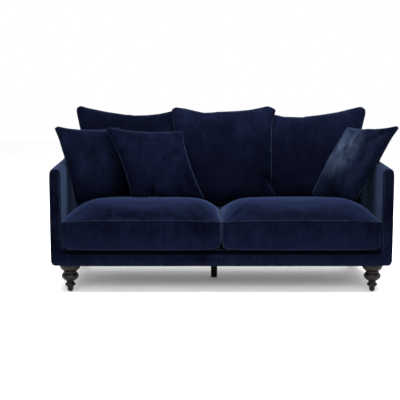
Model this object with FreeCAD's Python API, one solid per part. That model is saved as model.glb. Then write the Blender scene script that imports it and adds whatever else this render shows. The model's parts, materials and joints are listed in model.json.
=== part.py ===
"""Three-pillow velvet sofa on turned wooden feet, in millimetres.

Frame: +X to the sitter's left, seen as right from the front; +Y to the back; +Z up.
The origin is on the floor, under the middle of the whole sofa.
Each function makes the nodes of one sub-assembly, and save() writes them to parts/.
"""

import FreeCAD, Part
import math
import os

V = FreeCAD.Vector

# ---- driving dimensions ----
WIDTH = 1850.0
FRONT_Y = -450.0
BACK_Y = 450.0
BASE_Z = 154.0  # underside of the upholstery, top of the feet
DECK_Z = 233.0  # top of the seat deck
ARM_THICK = 62.0
ARM_FRONT_Z = 679.0
ARM_SLOPE = 0.045
BACK_TOP_Z = 815.0
COVER = 2.0  # velvet with its backing
PAD = 11.0  # foam sheet over the wooden side frames
WOOD = 36.0  # side frame thickness
RAIL_THICK = 28.0
RAIL_BOTTOM_Z = 157.0
RAIL_TOP_Z = 220.0

# inner and outer faces of the back: straight raked lines in the YZ plane
BACK_IN_BOTTOM_Y = 235.0
BACK_IN_TOP_Y = 312.0
BACK_OUT_BOTTOM_Y = 415.0
BACK_FRAME_DEPTH = 36.0
BACK_REAR_PAD = 8.0

SEAT_TOP_Z = 405.0  # top seam of the seat cushion boxing
SEAT_CROWN = 78.0
CROWN_FALL = 0.9  # the crown's rear slope is longer than its front slope by this share
SEAT_DEPTH = 680.0
SEAT_GAP = 4.0
SKIN = 2.5  # cushion cover thickness

FOOT_X = 833.0
FOOT_FRONT_Y = -370.0
FOOT_REAR_Y = 362.0
GLIDE = 4.0
LEG_X = -34.0
LEG_Y = 10.0
BOLT_R = 4.0

PILLOW_LEAN = math.radians(11.0)
HALF = WIDTH / 2
INNER_X = HALF - ARM_THICK
WOOD_OUT_X = HALF - COVER - PAD
WOOD_IN_X = WOOD_OUT_X - WOOD
RAIL_FRONT_Y = FRONT_Y + COVER + PAD

os.makedirs("parts", exist_ok=True)
NODES = {}


def save(name, shape):
    """Keeps a node's solids and writes its STEP file."""
    solids = shape.Solids
    for solid in solids:
        if not solid.isValid() or solid.Volume <= 0:
            raise ValueError(f"{name} has a bad solid")
    NODES[name] = shape
    shape.exportStep(f"parts/{name}.step")
    return shape


def box(x0, x1, y0, y1, z0, z1):
    low = V(min(x0, x1), min(y0, y1), min(z0, z1))
    return Part.makeBox(abs(x1 - x0), abs(y1 - y0), abs(z1 - z0), low)


def prism_x(yz, x0, x1):
    """A polygon drawn in the YZ plane, extruded along X from x0 to x1."""
    wire = Part.makePolygon([V(x0, y, z) for y, z in yz + yz[:1]])
    return Part.Face(wire).extrude(V(x1 - x0, 0, 0))


def stack(rings):
    """A closed solid through parallel four-cornered rings, each a list of four points."""
    wires = [Part.makePolygon(ring + ring[:1]) for ring in rings]
    return Part.makeLoft(wires, True, True)


def group(shapes):
    """Several solids as one shape, still separate."""
    return Part.makeCompound(shapes)


def round_edges(solid, radius, wanted):
    """Rounds the edges for which wanted(edge's middle point, edge) is true."""
    edges = [e for e in solid.Edges if wanted(e.CenterOfMass, e)]
    return solid.makeFillet(radius, edges)


def back_in_y(z):
    slope = (BACK_IN_TOP_Y - BACK_IN_BOTTOM_Y) / (BACK_TOP_Z - BASE_Z)
    return BACK_IN_BOTTOM_Y + (z - BASE_Z) * slope


def back_out_y(z):
    slope = (BACK_Y - BACK_OUT_BOTTOM_Y) / (BACK_TOP_Z - BASE_Z)
    return BACK_OUT_BOTTOM_Y + (z - BASE_Z) * slope


def frame_back_y(z):
    """The front of the wooden back frame, behind the back's foam."""
    return back_out_y(z) - BACK_REAR_PAD - BACK_FRAME_DEPTH


# ---- feet and centre leg ----
def foot_profile():
    """Half outline of the turned foot, as smooth runs between its necks."""
    runs = [
        [(11.0, GLIDE), (14.5, 8.0), (16.0, 16.0), (17.0, 26.0)],
        [(17.0, 26.0), (25.0, 32.0), (28.6, 38.5), (25.5, 45.5), (20.5, 50.0)],
        [(20.5, 50.0), (20.0, 55.0), (24.0, 59.5)],
        [(24.0, 59.5), (37.0, 69.0), (45.5, 80.0), (47.0, 89.0), (43.5, 98.0), (38.0, 102.5)],
        [(38.0, 102.5), (37.5, 105.5), (35.0, 107.0)],
        [(35.0, 107.0), (35.5, 112.0), (43.0, 119.0), (53.0, 130.0), (57.0, 140.0)],
        [(57.0, 140.0), (57.5, 147.0), (56.0, BASE_Z)],
    ]
    edges = []
    for run in runs:
        curve = Part.BSplineCurve()
        curve.interpolate([V(r, 0, z) for r, z in run])
        edges.append(curve.toShape())
    axis = [V(56.0, 0, BASE_Z), V(0, 0, BASE_Z), V(0, 0, GLIDE), V(11.0, 0, GLIDE)]
    for a, b in zip(axis, axis[1:]):
        edges.append(Part.LineSegment(a, b).toShape())
    return Part.Face(Part.Wire(Part.__sortEdges__(edges)))


def foot_places():
    return {
        "front_foot_left": (-FOOT_X, FOOT_FRONT_Y),
        "front_foot_right": (FOOT_X, FOOT_FRONT_Y),
        "rear_foot_left": (-FOOT_X, FOOT_REAR_Y),
        "rear_foot_right": (FOOT_X, FOOT_REAR_Y),
    }


def make_feet():
    """Four turned feet with their plates, bolts and glides, and the square centre leg."""
    turned = foot_profile().revolve(V(0, 0, 0), V(0, 0, 1), 360)
    bolt_low, bolt_high = 118.0, 174.0
    hole = Part.makeCylinder(BOLT_R, BASE_Z, V(0, 0, bolt_low))
    turned = turned.cut(hole)
    plate = box(-36, 36, -36, 36, BASE_Z, RAIL_BOTTOM_Z)
    boss = Part.makeCylinder(7.0, 12.0, V(0, 0, RAIL_BOTTOM_Z))
    plate = plate.fuse(boss).removeSplitter()
    plate = plate.cut(Part.makeCylinder(BOLT_R, 60.0, V(0, 0, BASE_Z - 5)))
    bolt = Part.makeCylinder(BOLT_R, bolt_high - bolt_low, V(0, 0, bolt_low))
    glide = Part.makeCylinder(10.5, GLIDE, V(0, 0, 0))
    plates, bolts, glides, tools, screws = [], [], [], [], []
    for name, (x, y) in foot_places().items():
        place = V(x, y, 0)
        save(name, turned.translated(place))
        mine = plate.translated(place)
        for sx in (-31, 31):
            for sy in (-31, 31):
                head = Part.makeCone(4.2, 2.0, 3.0, V(x + sx, y + sy, BASE_Z))
                shank = Part.makeCylinder(2.0, 17.0, V(x + sx, y + sy, BASE_Z))
                screw = head.fuse(shank)
                mine = mine.cut(screw)
                screws.append(screw)
        plates.append(mine)
        bolts.append(bolt.translated(place))
        glides.append(glide.translated(place))
        tools.append(Part.makeCylinder(7.0, 12.0, V(x, y, RAIL_BOTTOM_Z)))
        tools.append(bolt.translated(place))
    leg = stack([square(LEG_X, LEG_Y, 18.0, GLIDE), square(LEG_X, LEG_Y, 20.0, BASE_Z)])
    leg = round_edges(leg, 4.0, lambda c, e: e.Length > 100)
    flange = box(LEG_X - 24, LEG_X + 19.5, LEG_Y - 24, LEG_Y + 24, BASE_Z, RAIL_BOTTOM_Z)
    leg = leg.fuse(flange).removeSplitter()
    save("center_leg", leg)
    glides.append(Part.makeCylinder(13.0, GLIDE, V(LEG_X, LEG_Y, 0)))
    save("foot_glides", group(glides))
    save("foot_plates", group(plates))
    save("foot_bolts", group(bolts))
    return tools, screws


def square(x, y, half, z):
    corners = [(-half, -half), (half, -half), (half, half), (-half, half)]
    return [V(x + dx, y + dy, z) for dx, dy in corners]


# ---- wooden frame ----
def arm_top_curve(drop, inset=0.0):
    """The arm's top edge from its front to the back: nearly straight, then sweeping up."""
    start = V(0, FRONT_Y + inset, ARM_FRONT_Z - drop)
    middle = V(0, 0.0, ARM_FRONT_Z + ARM_SLOPE * (0.0 - FRONT_Y) - drop)
    end_z = BACK_TOP_Z - 18.0 - drop
    end = V(0, back_in_y(end_z), end_z)
    curve = Part.BSplineCurve()
    curve.interpolate(
        Points=[start, middle, end],
        InitialTangent=V(0, 1.0, ARM_SLOPE * 0.9),
        FinalTangent=V(0, 1.0, 0.62),
    )
    return curve


def arm_side(d):
    """The arm's side outline at an inset d from its finished surface, as a face at x = 0."""
    curve = arm_top_curve(d, d)
    start, end = curve.StartPoint, curve.EndPoint
    low_z = BASE_Z + d
    rear_low = V(0, back_in_y(low_z), low_z)
    front_low = V(0, FRONT_Y + d, low_z)
    edges = [
        curve.toShape(),
        Part.LineSegment(end, rear_low).toShape(),
        Part.LineSegment(rear_low, front_low).toShape(),
        Part.LineSegment(front_low, start).toShape(),
    ]
    return Part.Face(Part.Wire(Part.__sortEdges__(edges)))


def arm_solid(d, side):
    """The arm's body at inset d, rounded along its front, top and bottom edges."""
    outer, inner = HALF - d, INNER_X + d
    face = arm_side(d).translated(V(inner, 0, 0))
    solid = face.extrude(V(outer - inner, 0, 0))

    def front_corner(c, e):
        return abs(c.y - FRONT_Y - d) < 1 and abs(c.x - (outer + inner) / 2) < 1

    solid = round_edges(solid, 20.0 - d, front_corner)

    def rim(c, e):
        on_face = abs(c.x - outer) < 0.5 or abs(c.x - inner) < 0.5
        return on_face and c.y <= back_in_y(c.z) - 3.0

    solid = round_edges(solid, 15.0 - d, rim)
    return solid if side > 0 else mirror_x(solid)


def mirror_x(shape):
    return shape.mirror(V(0, 0, 0), V(1, 0, 0))


def side_name(side):
    return "right" if side > 0 else "left"


def arm_rail(side):
    """The shaped top rail of an arm, following the arm's curve down to the back post."""
    top = arm_top_curve(COVER + PAD, COVER + PAD)
    first, span = top.FirstParameter, top.LastParameter - top.FirstParameter
    points = [top.value(first + span * i / 8) for i in range(9)]
    upper = [(p.y, p.z) for p in points if p.y < BACK_IN_TOP_Y - 20]
    last_z = upper[-1][1]
    upper.append((frame_back_y(last_z), last_z))
    depth = 44.0
    lower = [(y, z - depth) for y, z in reversed(upper)]
    lower[0] = (frame_back_y(last_z - depth), last_z - depth)
    rail = prism_x(upper + lower, WOOD_IN_X, WOOD_OUT_X)
    return rail if side > 0 else mirror_x(rail)


def raked_prism(x0, x1, z0, z1, depth=BACK_FRAME_DEPTH, skip=0.0):
    """A board that follows the back's rear face, inside the rear padding."""
    low_y = back_out_y(z0) - BACK_REAR_PAD - skip
    high_y = back_out_y(z1) - BACK_REAR_PAD - skip
    yz = [(low_y, z0), (high_y, z1), (high_y - depth, z1), (low_y - depth, z0)]
    return prism_x(yz, x0, x1)


def side_board(a, b, y0, z0, z1):
    """A board along an arm, from y0 back to the raked back frame."""
    yz = [(y0, z0), (frame_back_y(z0), z0), (frame_back_y(z1), z1), (y0, z1)]
    return prism_x(yz, a, b)


def make_boards():
    """The frame's rails and posts, before the screws are let in."""
    wood = {}
    rear_rail_y = frame_back_y(RAIL_TOP_Z)
    post_top_z = BACK_TOP_Z - 28.0
    low, high, x = RAIL_BOTTOM_Z, RAIL_TOP_Z, WOOD_IN_X
    front_end = RAIL_FRONT_Y + RAIL_THICK
    wood["front_rail"] = box(-x, x, RAIL_FRONT_Y, front_end, low, high)
    wood["rear_rail"] = box(-x, x, rear_rail_y, rear_rail_y + RAIL_THICK, low, high)
    wood["center_rail"] = box(-14, 14, front_end, rear_rail_y, low, high)
    front_post_y = RAIL_FRONT_Y + 60.0
    post_cut_z = ARM_FRONT_Z - COVER - PAD - 20
    for side in (-1, 1):
        name = side_name(side)
        a, b = side * WOOD_IN_X, side * WOOD_OUT_X
        top_rail = arm_rail(side)
        post = box(a, b, RAIL_FRONT_Y, front_post_y, low + 1, post_cut_z)
        wood[f"{name}_front_post"] = post.cut(top_rail)
        wood[f"{name}_back_post"] = raked_prism(a, b, low + 1, post_top_z)
        wood[f"{name}_arm_top_rail"] = top_rail
        wood[f"{name}_side_rail"] = side_board(a, b, front_post_y, low + 1, high)
        wood[f"{name}_arm_lower_rail"] = side_board(a, b, front_post_y, DECK_Z + 17, DECK_Z + 57)
    depth = RAIL_THICK
    wood["back_top_rail"] = raked_prism(-x, x, post_top_z - 70, post_top_z, depth)
    wood["back_lower_rail"] = raked_prism(-x, x, DECK_Z + 17, DECK_Z + 77, depth)
    wood["back_center_post"] = raked_prism(-22, 22, DECK_Z + 77, post_top_z - 70, depth)
    return wood


def corner_block(sx, sy, y):
    """A three-sided block glued into a corner of the seat frame, and the screws through it."""
    leg, height = 130.0, 38.0
    corner = V(sx * WOOD_IN_X, y, RAIL_BOTTOM_Z)
    outline = [corner, corner + V(-sx * leg, 0, 0), corner + V(0, sy * leg, 0), corner]
    block = Part.Face(Part.makePolygon(outline)).extrude(V(0, 0, height))
    screws = []
    for along in (20.0, 100.0):
        run = leg - along
        in_rail = V(corner.x - sx * along, y + sy * run, RAIL_BOTTOM_Z + 12)
        in_side = V(corner.x - sx * run, y + sy * along, RAIL_BOTTOM_Z + 26)
        for screw, access in (
            screw_set(in_rail, V(0, -sy, 0), run + 20.0),
            screw_set(in_side, V(sx, 0, 0), run + 22.0),
        ):
            block = block.cut(access)
            screws.append(screw)
    return block, screws


def make_frame(foot_tools, plate_screws):
    """The softwood frame, its corner blocks and all of its screws."""
    wood = make_boards()
    blocks, screws = [], list(plate_screws)
    for sx in (-1, 1):
        for sy, y in ((1, RAIL_FRONT_Y + RAIL_THICK), (-1, frame_back_y(RAIL_TOP_Z))):
            block, own = corner_block(sx, sy, y)
            blocks.append(block)
            screws += own
    leg_block = box(-60, -14, LEG_Y - 45, LEG_Y + 45, RAIL_BOTTOM_Z, RAIL_BOTTOM_Z + 38)
    for dy in (-30, 30):
        screw, access = screw_set(V(-60, LEG_Y + dy, RAIL_BOTTOM_Z + 20), V(1, 0, 0), 64.0)
        leg_block = leg_block.cut(access)
        screws.append(screw)
    blocks.append(leg_block)
    cutter = group(screws + foot_tools)
    screwed = ["front_rail", "rear_rail", "center_rail"]
    for side in ("left", "right"):
        screwed += [f"{side}_side_rail", f"{side}_front_post", f"{side}_back_post"]
    for name in screwed:
        wood[name] = wood[name].cut(group(screws))
    wood["corner_blocks"] = group([b.cut(cutter) for b in blocks])
    wood["frame_screws"] = group(screws)
    for name, shape in wood.items():
        save(name, shape)
    return wood


def screw_set(head, way, length):
    """A wood screw whose head is sunk from a block's sloping face, and the hole that it needs."""
    head_r, shank_r, head_h, sink = 5.0, 2.5, 3.5, 12.0
    seat = head + way * sink
    shank = Part.makeCylinder(shank_r, length - sink, seat, way)
    screw = shank.fuse(Part.makeCylinder(head_r, head_h, seat, way)).removeSplitter()
    access = Part.makeCylinder(head_r, sink + 8.0 + head_h, seat - way * (sink + 8.0), way)
    return screw, access.fuse(shank)


# ---- springs, webbing and cloths ----
def sinuous_spring(x, y0, y1, z):
    """A zigzag wire spring: straight bars joined by half turns."""
    wire_r, half_bar, bars = 1.9, 14.0, 26
    pitch = (y1 - y0) / (bars - 1)
    edges = []
    for i in range(bars):
        y = y0 + i * pitch
        way = 1 if i % 2 == 0 else -1
        end = V(x + way * half_bar, y, z)
        edges.append(Part.LineSegment(V(x - way * half_bar, y, z), end).toShape())
        if i < bars - 1:
            tip = V(x + way * (half_bar + pitch / 2), y + pitch / 2, z)
            edges.append(Part.Arc(end, tip, end + V(0, pitch, 0)).toShape())
    path = Part.Wire(edges)
    section = Part.Wire(Part.makeCircle(wire_r, V(x - half_bar, y0, z), V(1, 0, 0)))
    return path.makePipeShell([section], True, False)


def make_springs():
    wire_z = RAIL_TOP_Z + 2.4
    y0 = RAIL_FRONT_Y + RAIL_THICK / 2
    y1 = frame_back_y(RAIL_TOP_Z) + RAIL_THICK / 2
    count = 6
    bay = (WOOD_IN_X - 14.0) / count
    clips = []
    for side in (-1, 1):
        springs = []
        for i in range(count):
            x = side * (14.0 + bay * (i + 0.5))
            springs.append(sinuous_spring(x, y0, y1, wire_z))
            for y in (y0, y1):
                clip = box(x - 9, x + 9, y - 6, y + 6, RAIL_TOP_Z, RAIL_TOP_Z + 4.8)
                clips.append(clip.cut(Part.makeCylinder(1.9, 40.0, V(x - 20, y, wire_z), V(1, 0, 0))))
        save(f"seat_springs_{side_name(side)}", group(springs))
    save("spring_clips", group(clips))


def make_webbing():
    """Upright straps and two level ones, stapled over the front of the back frame."""
    straps = []
    strap, thick = 50.0, 1.4
    low_z, high_z = DECK_Z + 37.0, BACK_TOP_Z - 60.0
    for i in range(8):
        x = -WOOD_IN_X + 2 * WOOD_IN_X * (i + 0.5) / 8
        straps.append(raked_prism(x - strap / 2, x + strap / 2, low_z, high_z, thick, RAIL_THICK))
    for z in (430.0, 570.0):
        level = raked_prism(-WOOD_IN_X, WOOD_IN_X, z, z + strap, thick, RAIL_THICK + thick)
        straps.append(level)
    save("back_webbing", group(straps))


def make_deck():
    """The felt and cloth over the springs, and the dust cover under the seat."""
    felt_low, felt_high = RAIL_TOP_Z + 5.2, DECK_Z - COVER
    reach_y = back_in_y(DECK_Z) + 60.0
    felt_x, cloth_x = INNER_X - 6, INNER_X - 1
    save("deck_felt", box(-felt_x, felt_x, FRONT_Y + 100, reach_y - 10, felt_low, felt_high))
    save("deck_cloth", box(-cloth_x, cloth_x, FRONT_Y + 96, reach_y, felt_high, DECK_Z))
    edge = HALF - 22
    dust = box(-edge, edge, FRONT_Y + 18, BACK_OUT_BOTTOM_Y - 14, BASE_Z - 1.2, BASE_Z)
    for x, y in foot_places().values():
        dust = dust.cut(Part.makeCylinder(58.5, 10, V(x, y, BASE_Z - 5)))
    reach = 22
    leg_hole = box(LEG_X - reach, LEG_X + reach, LEG_Y - reach, LEG_Y + reach, BASE_Z - 5, BASE_Z + 5)
    save("dust_cover", dust.cut(leg_hole))


# ---- fixed upholstery ----
def plate_spaces():
    """The room that the four foot plates take."""
    places = foot_places().values()
    return group([box(x - 36, x + 36, y - 36, y + 36, BASE_Z, RAIL_BOTTOM_Z) for x, y in places])


def make_arms(wood):
    """Each arm's foam, its cover and the panel sewn into the cover's outer side."""
    frame = group(list(wood.values()))
    plates = plate_spaces()
    for side in (-1, 1):
        name = side_name(side)
        outer, middle, core = (arm_solid(d, side) for d in (0.0, COVER, COVER + PAD))
        x0, x1 = side * (INNER_X - 1), side * WOOD_IN_X
        seat_side = box(x0, x1, RAIL_FRONT_Y, BACK_Y, RAIL_BOTTOM_Z, RAIL_TOP_Z + 5)
        skin = outer.cut(middle)
        low_x = HALF - COVER if side > 0 else -HALF
        inset = arm_side(22.0).translated(V(low_x, 0, 0)).extrude(V(COVER, 0, 0))
        panel = skin.common(inset)
        save(f"{name}_arm_cover", skin.cut(group([panel, seat_side, plates])))
        save(f"{name}_arm_outer_panel", panel)
        foam = middle.cut(core).cut(seat_side)
        save(f"{name}_arm_foam", foam.cut(frame).cut(plates))


def back_solid(d):
    """The back's body at inset d, rounded along its top and down its top corners."""
    z0, z1 = BASE_Z + d, BACK_TOP_Z - d
    front_low, front_high = back_in_y(z0) + d, back_in_y(z1) + d
    rear_low, rear_high = back_out_y(z0) - d, back_out_y(z1) - d
    yz = [(front_low, z0), (rear_low, z0), (rear_high, z1), (front_high, z1)]
    solid = prism_x(yz, -HALF + d, HALF - d)
    return round_edges(solid, 28.0 - d, lambda c, e: c.z > z1 - 1)


def make_back(wood):
    """The back's foam, its cover round the front and top, and the panel sewn in behind."""
    outer, middle = back_solid(0.0), back_solid(COVER)
    rails = [f"{s}_arm_{r}_rail" for s in ("left", "right") for r in ("top", "lower")]
    side_rails = group([wood[name] for name in rails])
    low_gap = box(-WOOD_OUT_X, WOOD_OUT_X, 0, back_out_y(BASE_Z) - 20, BASE_Z - 10, DECK_Z)
    shell = outer.cut(middle)
    z0, z1, past = BASE_Z + 24, BACK_TOP_Z - 34, BACK_Y + 60
    rear = [(back_out_y(z0) - COVER, z0), (past, z0), (past, z1), (back_out_y(z1) - COVER, z1)]
    panel = shell.common(prism_x(rear, -HALF + 34, HALF - 34))
    save("outside_back_panel", panel)
    save("inside_back_cover", shell.cut(panel).cut(side_rails).cut(low_gap).cut(plate_spaces()))
    z0, z1 = DECK_Z + 1.0, BACK_TOP_Z
    filled = [(0, z0), (frame_back_y(z0) - 3, z0), (frame_back_y(z1) - 3, z1), (0, z1)]
    save("back_foam", middle.common(prism_x(filled, -HALF, HALF)).cut(side_rails))


def make_border():
    """The padded border across the front, below the cushions."""
    low, high = BASE_Z + COVER, DECK_Z - COVER
    x, y = INNER_X - 1, FRONT_Y
    save("front_border_foam", box(-x, x, y + COVER, RAIL_FRONT_Y, low, high))
    outline = [
        (y, BASE_Z),
        (y + 48, BASE_Z),
        (y + 48, low),
        (y + COVER, low),
        (y + COVER, high),
        (y + 95, high),
        (y + 95, DECK_Z),
        (y, DECK_Z),
    ]
    cover = prism_x(outline, -INNER_X + 0.5, INNER_X - 0.5)
    save("front_border_cover", cover.cut(plate_spaces()))


# ---- loose cushions ----
def cushion_nodes(name, solid_at, inner_name):
    """A closed cover shell and the filling inside it."""
    outer, inner = solid_at(0.0), solid_at(SKIN)
    save(f"{name}_cover", outer.cut(inner))
    save(f"{name}_{inner_name}", inner)


def seat_cushion(side):
    """A box cushion whose top rises in slopes from its seam; each level is an inset and a height."""
    x0, x1 = SEAT_GAP / 2, INNER_X - SEAT_GAP / 2
    y0, y1 = FRONT_Y + 1.0, FRONT_Y + 1.0 + SEAT_DEPTH
    low = DECK_Z + 0.5
    crown = [(40.0, 436.0), (115.0, 464.0), (210.0, SEAT_TOP_Z + SEAT_CROWN)]

    def ring(i, rear, z):
        return [V(x0 + i, y0 + i, z), V(x1 - i, y0 + i, z), V(x1 - i, rear, z), V(x0 + i, rear, z)]

    def solid_at(d):
        rings = [ring(d, y1 - d, low + d), ring(d, y1 - d, SEAT_TOP_Z)]
        for inset, z in crown:
            rings.append(ring(inset + d, y1 - d - inset * (1 + CROWN_FALL), z - d))
        shape = stack(rings)
        return shape if side > 0 else mirror_x(shape)

    return solid_at


def pillow(center, u, v, half_thick, rim=11.0):
    """A stuffed pillow as a parallelogram slab that thins towards its seam; u and v are whole edges."""
    normal = u.cross(v)
    normal.normalize()
    short = min(u.Length, v.Length)
    profile = [(0.11, 0.42), (0.25, 0.86), (0.38, 1.0)]

    def solid_at(d):
        levels = [(d / short, max(rim - d, 2.0))]
        levels += [(s + d / short, half_thick * t - d) for s, t in profile]
        half = [(1.0 - 2.0 * inset, t) for inset, t in levels]
        rings = []
        for k, t in [(k, -t) for k, t in reversed(half)] + half:
            c = center + normal * t
            a, b = u * (k / 2), v * (k / 2)
            rings.append([c - a - b, c + a - b, c + a + b, c - a + b])
        return stack(rings)

    return solid_at


def lean_v(length, lean=PILLOW_LEAN):
    return V(0, math.sin(lean), math.cos(lean)) * length


def back_pillows():
    """Name, middle of the bottom edge, yaw in degrees and width of each back pillow."""
    rows = [
        ("back_pillow_left", V(-554, 157, 447), -3.5, 600.0),
        ("back_pillow_middle", V(25, 122, 447), 0.0, 606.0),
        ("back_pillow_right", V(561, 157, 447), 3.5, 592.0),
    ]
    height, half_thick = 562.0, 76.0
    made = {}
    for name, foot, yaw, width in rows:
        angle = math.radians(yaw)
        u = V(math.cos(angle), -math.sin(angle), 0) * width
        v = lean_v(height)
        made[name] = pillow(foot + v * 0.5, u, v, half_thick)
    return made


def scatter_pillows():
    """Each scatter pillow from its bottom left, bottom right and top left corners."""
    rows = [
        ("scatter_pillow_left", V(-790, -250, 482), V(-504, 91, 484), V(-885, -205, 882)),
        ("scatter_pillow_front", V(-510, -118, 491), V(-90, -30, 474), V(-655, -22, 869)),
        ("scatter_pillow_right", V(551, 115, 480), V(741, -220, 483), V(748, 85, 880)),
    ]
    made = {}
    for name, low_left, low_right, top_left in rows:
        u, v = low_right - low_left, top_left - low_left
        made[name] = pillow(low_left + u * 0.5 + v * 0.5, u, v, 58.0, 8.0)
    return made


def make_cushions():
    for side in (-1, 1):
        cushion_nodes(f"seat_cushion_{side_name(side)}", seat_cushion(side), "core")
    for name, solid_at in {**back_pillows(), **scatter_pillows()}.items():
        cushion_nodes(name, solid_at, "insert")


def main():
    foot_tools, plate_screws = make_feet()
    wood = make_frame(foot_tools, plate_screws)
    make_springs()
    make_webbing()
    make_deck()
    make_arms(wood)
    make_back(wood)
    make_border()
    make_cushions()
    print(len(NODES), "nodes")


main()
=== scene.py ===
import json
import math

import bmesh
import bpy
import numpy as np
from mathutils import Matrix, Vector


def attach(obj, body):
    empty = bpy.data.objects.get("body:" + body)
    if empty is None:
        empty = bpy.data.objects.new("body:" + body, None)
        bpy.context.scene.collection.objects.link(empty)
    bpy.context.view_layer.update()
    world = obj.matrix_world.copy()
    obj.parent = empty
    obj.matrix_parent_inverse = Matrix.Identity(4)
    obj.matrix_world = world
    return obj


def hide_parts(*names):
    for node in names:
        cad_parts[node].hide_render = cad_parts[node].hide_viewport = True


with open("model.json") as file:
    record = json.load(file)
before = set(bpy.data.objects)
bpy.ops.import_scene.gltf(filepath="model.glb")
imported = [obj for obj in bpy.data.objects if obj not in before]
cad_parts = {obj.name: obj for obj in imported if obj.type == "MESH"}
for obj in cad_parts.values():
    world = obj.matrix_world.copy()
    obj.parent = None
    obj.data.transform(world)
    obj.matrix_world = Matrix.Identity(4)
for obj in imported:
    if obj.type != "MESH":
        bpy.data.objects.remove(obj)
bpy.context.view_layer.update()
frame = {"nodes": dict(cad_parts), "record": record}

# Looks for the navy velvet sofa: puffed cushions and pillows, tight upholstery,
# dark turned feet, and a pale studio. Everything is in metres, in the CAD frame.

scene = bpy.context.scene

# ---- sizes shared by several pieces, in metres ----
ARM_INNER_X, ARM_OUTER_X = 0.868, 0.925
FRONT_Y = -0.45
BASE_Z = 0.154
ARM_FRONT_Z = 0.679
ARM_TUCK = 0.016  # how far the arms' covers reach into the back
ARM_REAR_Y = 0.309  # where the arms' tops meet the back
BACK_TOP_Z = 0.815
SEAT_LOW_Z = 0.2345
SEAT_SEAM_Z = 0.404
SEAT_CROWN = 0.090
SEAT_REAR_Y = 0.233


# ---- materials ----
class Nodes:
    """A small helper that adds and links shader nodes."""

    def __init__(self, name):
        self.mat = bpy.data.materials.new(name)
        self.mat.use_nodes = True
        self.tree = self.mat.node_tree
        self.shader = self.tree.nodes["Principled BSDF"]
        self.coord = self.tree.nodes.new("ShaderNodeTexCoord").outputs["Object"]

    def add(self, kind, inputs=None, **props):
        node = self.tree.nodes.new(kind)
        for key, value in props.items():
            setattr(node, key, value)
        for key, value in (inputs or {}).items():
            self.put(node.inputs[key], value)
        return node

    def put(self, socket, value):
        if isinstance(value, bpy.types.NodeSocket):
            self.tree.links.new(value, socket)
        else:
            socket.default_value = value

    def noise(self, scale, detail=3.0, rough=0.5, stretch=(1, 1, 1), distortion=0.0):
        mapped = self.add("ShaderNodeMapping", {"Vector": self.coord, "Scale": stretch})
        values = {"Vector": mapped.outputs[0], "Scale": scale, "Detail": detail, "Roughness": rough,
                  "Distortion": distortion}
        return self.add("ShaderNodeTexNoise", values).outputs["Fac"]

    def mix(self, factor, a, b):
        node = self.add("ShaderNodeMix", data_type="RGBA")
        self.put(node.inputs[0], factor)
        self.put(node.inputs[6], a)
        self.put(node.inputs[7], b)
        return node.outputs[2]

    def math(self, operation, *values):
        return self.add("ShaderNodeMath", dict(enumerate(values)), operation=operation).outputs[0]

    def place(self):
        """The X, Y and Z outputs of the surface's own position."""
        return self.add("ShaderNodeSeparateXYZ", {"Vector": self.coord}).outputs

    def near(self, centre, near, far, amount=1.0):
        """A patch that is full within one distance of a place and fades out at another."""
        node = self.add("ShaderNodeVectorMath", {0: self.coord, 1: centre}, operation="DISTANCE")
        return self.remap(node.outputs["Value"], near, far, amount, 0.0)

    def remap(self, value, low, high, to_low, to_high):
        values = {"Value": value, "From Min": low, "From Max": high, "To Min": to_low, "To Max": to_high}
        return self.add("ShaderNodeMapRange", values).outputs[0]

    def bump(self, height, distance, strength, normal=None):
        node = self.add("ShaderNodeBump", {"Height": height, "Distance": distance, "Strength": strength})
        if normal:
            self.put(node.inputs["Normal"], normal)
        return node.outputs["Normal"]


def scaled(colour, factor=1.0):
    return (*(c * factor for c in colour), 1.0)


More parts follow.
